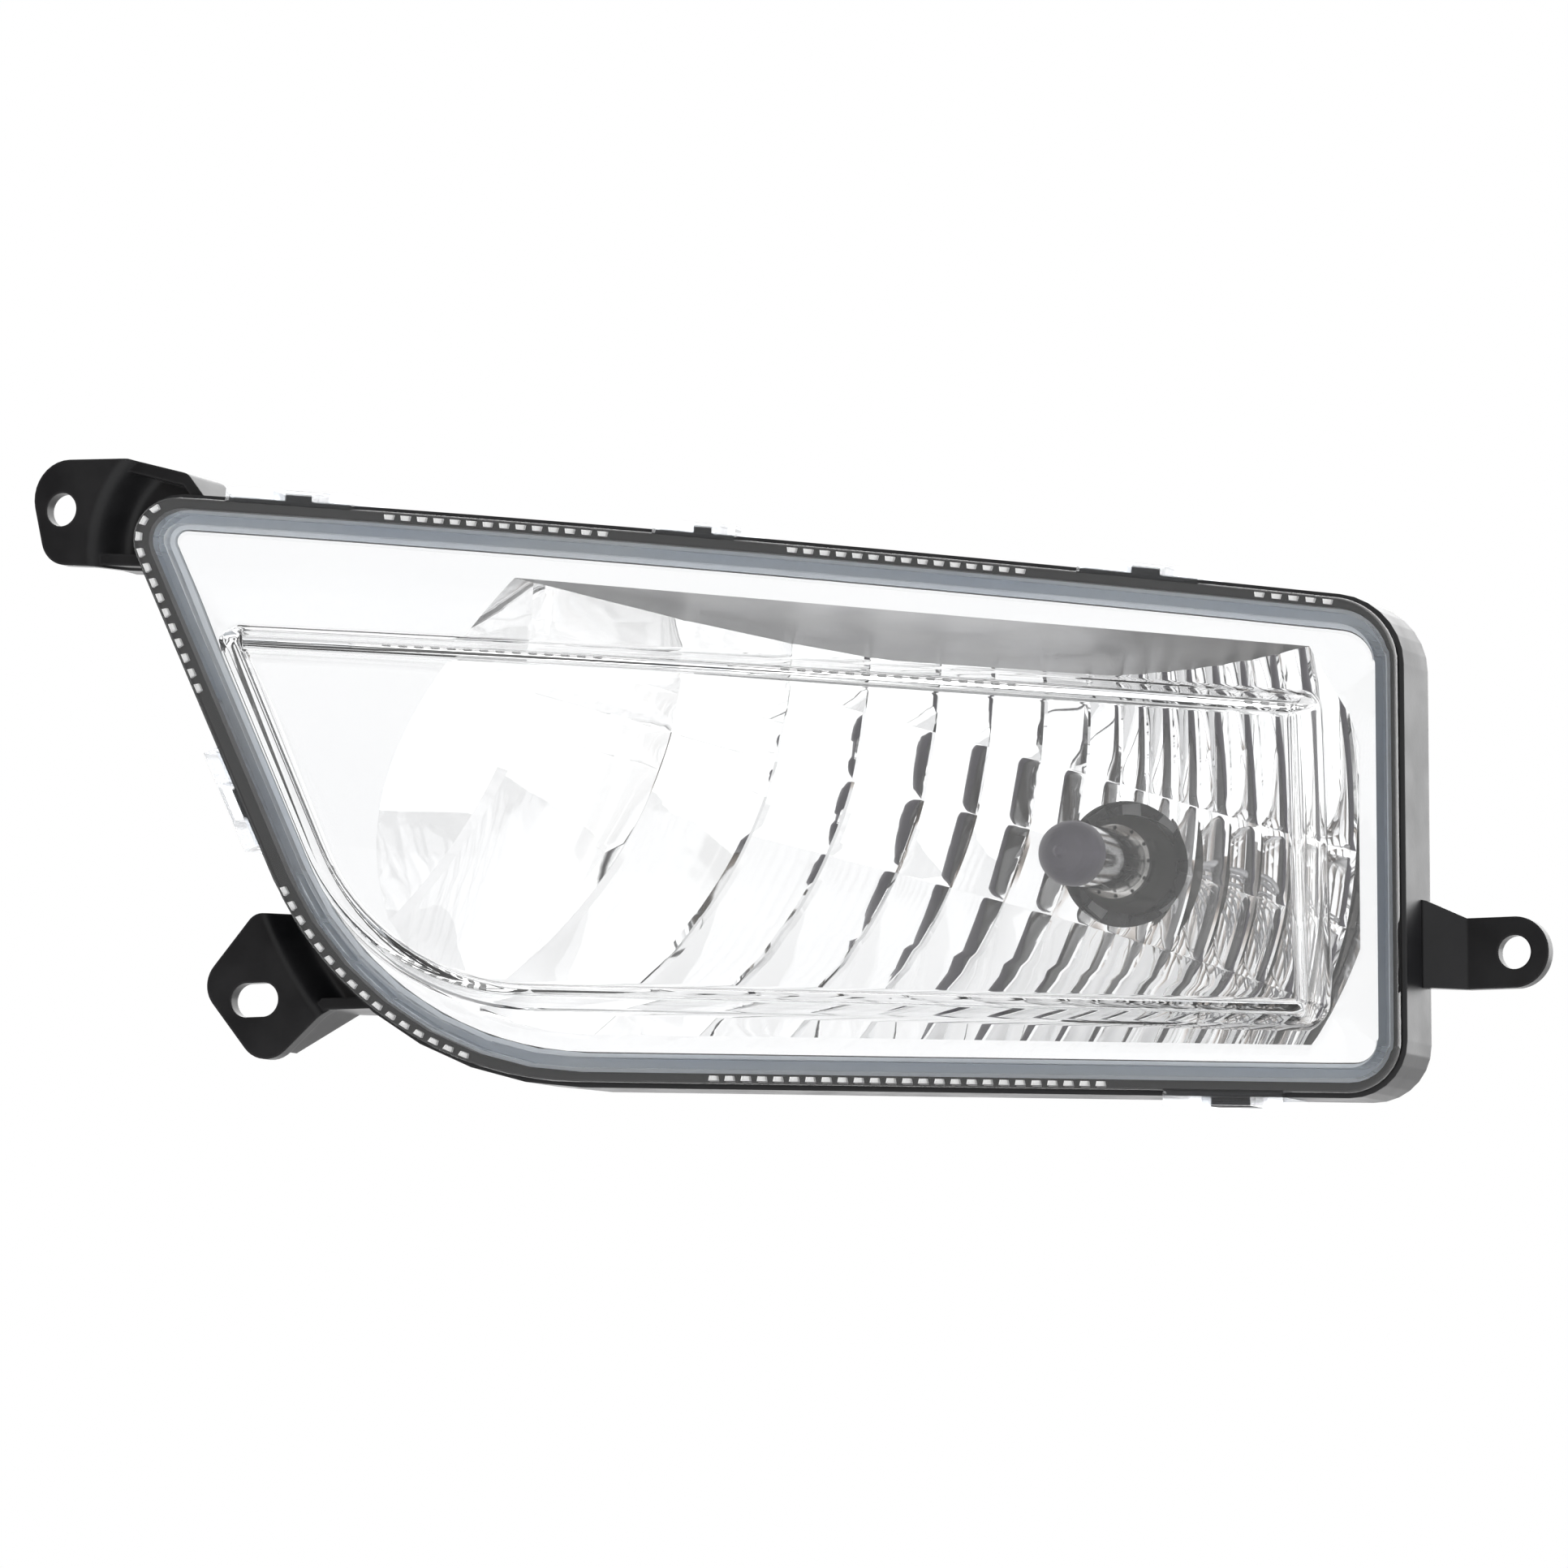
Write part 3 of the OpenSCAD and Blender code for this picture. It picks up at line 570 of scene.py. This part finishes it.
def make_lower_bracket():
    h = mount_point("lower_tab_slot")
    at, y0 = Vector((h.x, h.z)), h.y
    region = rounded(
        around(at, (-0.2, 18), (-13, 3.5), (2, -15.2), (16.5, -2.6), (36, -2.4), (16, 17.8)),
        [4, 6, 6.5, 3, 1, 1])
    obj = bent_sheet(region, y0, 5.0, 11.6, 6.0)
    web_corners = around(at, (6.8, -10.9), (16.2, -2.5), (36, -2.4), (36, 0), (15.2, -0.1), (5.2, -9.1))
    web = prism(web_corners, y0, y0 + 21)
    plan = [(3, 0.9), (16.5, 0.9), (30, 3), (40, 3), (40, 20), (20, 20), (4, TAB_T)]
    tool = loft("plan", [[Vector((h.x + a, y0 + b, z)) for a, b in plan] for z in (h.z - 20, h.z + 20)])
    boolean(web, tool, "INTERSECT")
    boolean(obj, web, "UNION")
    half, r = (SLOT_LEN - SLOT_W) / 2, SLOT_W / 2
    ring = []
    for i in range(64):
        a = 2 * math.pi * (i + 0.5) / 64
        ring.append(Vector((h.x + math.copysign(half, math.cos(a)) + r * math.cos(a), h.z + r * math.sin(a))))
    boolean(obj, prism(ring, y0 - 2, y0 + 5), "DIFFERENCE")
    cut_by_housing(obj)
    obj.name = "lower_bracket_moulding"
    smooth(obj, 35)
    return obj


def mount_point(name):
    """The middle of a fixing hole at its tab's front face."""
    mount = next(m for m in frame["record"]["mounts"] if m["name"] == name)
    return Vector(mount["pos_m"]) / MM - Vector((0, TAB_T / 2, 0))


upper_bracket = make_upper_bracket()
lower_bracket = make_lower_bracket()


# ---- materials ----

GRAIN_H = 0.0001                 # height of the surface grain, in metres


def node_material(name):
    m = bpy.data.materials.new(name)
    m.use_nodes = True
    return m, m.node_tree, m.node_tree.nodes["Principled BSDF"]


def add(tree, kind, **inputs):
    n = tree.nodes.new(kind)
    for key, value in inputs.items():
        n.inputs[key.replace("_", " ")].default_value = value
    return n


def grain(tree, bsdf, scale, strength, distance, detail=4.0, rough=None, tint=None, edge=0.0):
    """Object-space noise for bump, and if asked for roughness and colour."""
    coords = tree.nodes.new("ShaderNodeTexCoord")
    noise = add(tree, "ShaderNodeTexNoise", Scale=scale, Detail=detail)
    tree.links.new(coords.outputs["Object"], noise.inputs["Vector"])
    bump = add(tree, "ShaderNodeBump", Strength=strength, Distance=distance)
    tree.links.new(noise.outputs["Fac"], bump.inputs["Height"])
    tree.links.new(bump.outputs["Normal"], bsdf.inputs["Normal"])
    if edge:
        bevel = tree.nodes.new("ShaderNodeBevel")
        bevel.inputs["Radius"].default_value = edge
        tree.links.new(bevel.outputs["Normal"], bump.inputs["Normal"])
    wide = add(tree, "ShaderNodeTexNoise", Scale=scale * 0.05, Detail=5.0)
    tree.links.new(coords.outputs["Object"], wide.inputs["Vector"])
    if rough:
        r = tree.nodes.new("ShaderNodeMapRange")
        r.inputs["From Min"].default_value = 0.3
        r.inputs["From Max"].default_value = 0.7
        r.inputs["To Min"].default_value, r.inputs["To Max"].default_value = rough
        tree.links.new(wide.outputs["Fac"], r.inputs["Value"])
        tree.links.new(r.outputs["Result"], bsdf.inputs["Roughness"])
    if tint:
        ramp = tree.nodes.new("ShaderNodeValToRGB")
        ramp.color_ramp.elements[0].position = 0.35
        ramp.color_ramp.elements[0].color = (*tint[0], 1)
        ramp.color_ramp.elements[1].position = 0.65
        ramp.color_ramp.elements[1].color = (*tint[1], 1)
        tree.links.new(wide.outputs["Fac"], ramp.inputs["Fac"])
        tree.links.new(ramp.outputs["Color"], bsdf.inputs["Base Color"])
    return bump


def plastic(name, dark, light, rough=(0.32, 0.42), scale=1800, strength=0.12, edge=0.0, shine=0.5):
    m, t, b = node_material(name)
    b.inputs["Specular IOR Level"].default_value = shine
    grain(t, b, scale, strength, GRAIN_H, rough=rough, tint=(dark, light), edge=edge)
    return m


def metal(name, dark, light, rough=(0.15, 0.3), scale=900, strength=0.05):
    m, t, b = node_material(name)
    b.inputs["Metallic"].default_value = 1.0
    grain(t, b, scale, strength, GRAIN_H, rough=rough, tint=(dark, light))
    return m


def clear(name, ior, rough, tint=(1, 1, 1), transmission=1.0, alpha=1.0):
    m, t, b = node_material(name)
    b.inputs["Transmission Weight"].default_value = transmission
    b.inputs["IOR"].default_value = ior
    b.inputs["Base Color"].default_value = (*tint, 1)
    b.inputs["Alpha"].default_value = alpha
    grain(t, b, 90, 0.01, 0.00005, rough=rough)
    return m


black = plastic("moulded_black", (0.005, 0.005, 0.006), (0.009, 0.009, 0.010), edge=0.0007, shine=0.3)
black_fine = plastic(
    "bulb_black", (0.008, 0.008, 0.009), (0.016, 0.016, 0.018),
    rough=(0.22, 0.34), scale=3000)
rubber = plastic(
    "soft_black", (0.012, 0.012, 0.012), (0.02, 0.02, 0.02),
    rough=(0.6, 0.75), scale=1200, strength=0.3)
seal = plastic("sealant", (0.80, 0.88, 0.98), (0.88, 0.94, 1.0), rough=(0.35, 0.5), scale=500, strength=0.35)
# the seal ring's light grey silicone is painted whiter than its own colour: painted light, so it shows bright
# through the socket ring's slots where it lies in shade
silicone_painted_light = plastic(
    "silicone_painted_light", (0.78, 0.78, 0.79), (0.86, 0.86, 0.86),
    rough=(0.45, 0.6), scale=900, strength=0.2)
membrane = plastic("membrane", (0.6, 0.6, 0.57), (0.7, 0.7, 0.67), rough=(0.8, 0.9), scale=4000, strength=0.4)
coating = plastic(
    "tip_coating", (0.078, 0.07, 0.094), (0.098, 0.088, 0.118),
    rough=(0.38, 0.5), scale=2500, strength=0.06)
chrome = metal(
    "mirror_coating", (0.93, 0.93, 0.935), (0.95, 0.95, 0.95),
    rough=(0.015, 0.035), scale=260, strength=0.004)
steel = metal("pressed_steel", (0.055, 0.053, 0.05), (0.08, 0.078, 0.075), rough=(0.12, 0.18), strength=0.01)
bright_steel = metal("clamp_steel", (0.5, 0.49, 0.47), (0.65, 0.64, 0.62), rough=(0.14, 0.24))
satin = metal(
    "satin_mirror", (0.80, 0.80, 0.81), (0.88, 0.88, 0.88),
    rough=(0.30, 0.42), scale=1500, strength=0.25)
zinc = metal("zinc_steel", (0.28, 0.285, 0.29), (0.38, 0.38, 0.38), rough=(0.25, 0.4))
tin = metal("tinned_brass", (0.62, 0.6, 0.54), (0.74, 0.72, 0.66))
wire = metal("wire", (0.35, 0.35, 0.36), (0.5, 0.5, 0.5))
lens_mat = clear("clear_polycarbonate", 1.58, (0.0, 0.01), (0.995, 0.998, 1.0))
# the pockets are frosted, and their pale, mostly opaque colour is a painted highlight along the lens edge
frost_and_painted_highlight = clear("frosted_pockets_painted_highlight", 1.58, (0.5, 0.6), transmission=0.15)
# the snap loops are the lens's own clear plastic; their grey tint is painted shade, standing in for the darkening
# seen through their thick plastic
loops_painted_shade_mat = clear("clear_loops_painted_shade", 1.45, (0.12, 0.2), (0.56, 0.58, 0.61), alpha=0.7)
glass_mat = clear("quartz", 1.46, (0.0, 0.015))

assign = {
    "housing": black, "outer_bracket": black, "upper_bracket": black, "lower_bracket": black,
    "lens": lens_mat, "lens_sealant": seal, "reflector": chrome, "reflector_screws": zinc,
    "socket_ring": black_fine, "upper_vent_cap": rubber, "lower_vent_cap": rubber, "vent_filters": membrane,
    "bulb_base": black_fine, "bulb_seal_ring": silicone_painted_light, "bulb_terminals": tin, "bulb_focus_ring": steel,
    "bulb_clamp_ring": bright_steel, "bulb_glass": glass_mat, "bulb_tip_coating": coating,
    "low_beam_filament": wire, "high_beam_filament": wire, "filament_leads": wire,
}
for name, material in assign.items():
    mesh = CAD[name].data
    mesh.materials.clear()
    mesh.materials.append(material)


def finish_piece(obj, body, materials, slot, *nodes):
    marks = [face.material_index for face in obj.data.polygons]
    obj.data.materials.clear()
    for material in materials:
        obj.data.materials.append(material)
    obj.data.polygons.foreach_set("material_index", marks)
    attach(obj, body)
    if nodes:
        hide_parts(*nodes)


finish_piece(reflector, "lamp", [chrome, satin], "bright_plate", "reflector")
finish_piece(lens, "lamp", [lens_mat, frost_and_painted_highlight, loops_painted_shade_mat], "clear_plastic", "lens")
finish_piece(upper_bracket, "lamp", [black], "black_plastic", "upper_bracket")
finish_piece(lower_bracket, "lamp", [black], "black_plastic", "lower_bracket")

# ---- stage ----
floor_z = -0.30
reach = 6
floor_corners = [(x * reach, y * reach, floor_z) for x, y in ((-1, -1), (1, -1), (1, 1), (-1, 1))]
floor = new_object("floor", floor_corners, [(0, 1, 2, 3)], 1.0)
floor_material, _, floor_shader = node_material("pale_floor")
floor_shader.inputs["Base Color"].default_value = (0.86, 0.86, 0.86, 1)
floor_shader.inputs["Roughness"].default_value = 0.9
floor.data.materials.append(floor_material)

# ---- light: a white tent, brightest behind and at the sides, with a dim front ----
scene.view_settings.view_transform = "Standard"
world = bpy.data.worlds.new("studio")
scene.world = world
world.use_nodes = True
wt = world.node_tree
bg = wt.nodes["Background"]
direction_of = wt.nodes.new("ShaderNodeTexCoord")


def patch(direction, inner, outer, low):
    """1 away from a direction, falling to low within it; the limits are cosines."""
    dot = wt.nodes.new("ShaderNodeVectorMath")
    dot.operation = "DOT_PRODUCT"
    wt.links.new(direction_of.outputs["Generated"], dot.inputs[0])
    dot.inputs[1].default_value = Vector(direction).normalized()
    rng = wt.nodes.new("ShaderNodeMapRange")
    rng.interpolation_type = "SMOOTHSTEP"
    rng.inputs["From Min"].default_value = outer
    rng.inputs["From Max"].default_value = inner
    rng.inputs["To Min"].default_value = 1.0
    rng.inputs["To Max"].default_value = low
    wt.links.new(dot.outputs["Value"], rng.inputs["Value"])
    return rng.outputs["Result"]


def times(a, b):
    n = wt.nodes.new("ShaderNodeMath")
    n.operation = "MULTIPLY"
    for i, v in enumerate((a, b)):
        if isinstance(v, float):
            n.inputs[i].default_value = v
        else:
            wt.links.new(v, n.inputs[i])
    return n.outputs["Value"]


# a dark patch in front, towards the lamp's inner side: the flutes show it as dark streaks
front_dark = patch((-0.47, -0.88, 0.07), 0.965, 0.89, 0.06)
low_dim = patch((0, -0.3, -1), 0.95, 0.1, 0.55)
high_dim = patch((-0.3, -0.5, 1), 0.97, 0.6, 0.8)
rear = patch((0.25, 1, 0.1), 0.9, 0.1, 3.4)
level = times(times(times(times(front_dark, low_dim), high_dim), rear), 1.06)
paths = wt.nodes.new("ShaderNodeLightPath")
mix = wt.nodes.new("ShaderNodeMix")
mix.data_type = "FLOAT"
wt.links.new(paths.outputs["Is Camera Ray"], mix.inputs["Factor"])
wt.links.new(level, mix.inputs["A"])
mix.inputs["B"].default_value = 1.0      # the backdrop itself is plain white
wt.links.new(mix.outputs["Result"], bg.inputs["Strength"])

# the dark patch is a little warm, but the backdrop itself stays white
warm = wt.nodes.new("ShaderNodeMix")
warm.data_type = "RGBA"
plain = wt.nodes.new("ShaderNodeMath")
plain.operation = "MAXIMUM"
wt.links.new(front_dark, plain.inputs[0])
wt.links.new(paths.outputs["Is Camera Ray"], plain.inputs[1])
wt.links.new(plain.outputs["Value"], warm.inputs["Factor"])
warm.inputs["A"].default_value = (1.0, 0.78, 0.62, 1)
warm.inputs["B"].default_value = (1, 1, 1, 1)
wt.links.new(warm.outputs["Result"], bg.inputs["Color"])

# ---- camera: from the lamp's outer side and a little below it ----
AZIMUTH, ELEVATION, DISTANCE = 24.0, -6.5, 1.480
HALF_VIEW = 0.161                # half the width of the view at the target, in metres
target = Vector((-0.13515, -0.06547, 0.03419))
az, el = math.radians(AZIMUTH), math.radians(ELEVATION)
away = Vector((math.sin(az) * math.cos(el), -math.cos(az) * math.cos(el), math.sin(el)))
cam_data = bpy.data.cameras.new("camera")
cam = bpy.data.objects.new("camera", cam_data)
scene.collection.objects.link(cam)
cam.location = target + away * DISTANCE
cam.rotation_euler = (-away).to_track_quat("-Z", "Y").to_euler()
cam_data.sensor_fit = "HORIZONTAL"
cam_data.angle = 2 * math.atan(HALF_VIEW / DISTANCE)
cam_data.clip_start = 0.01
cam_data.clip_end = 50
scene.camera = cam
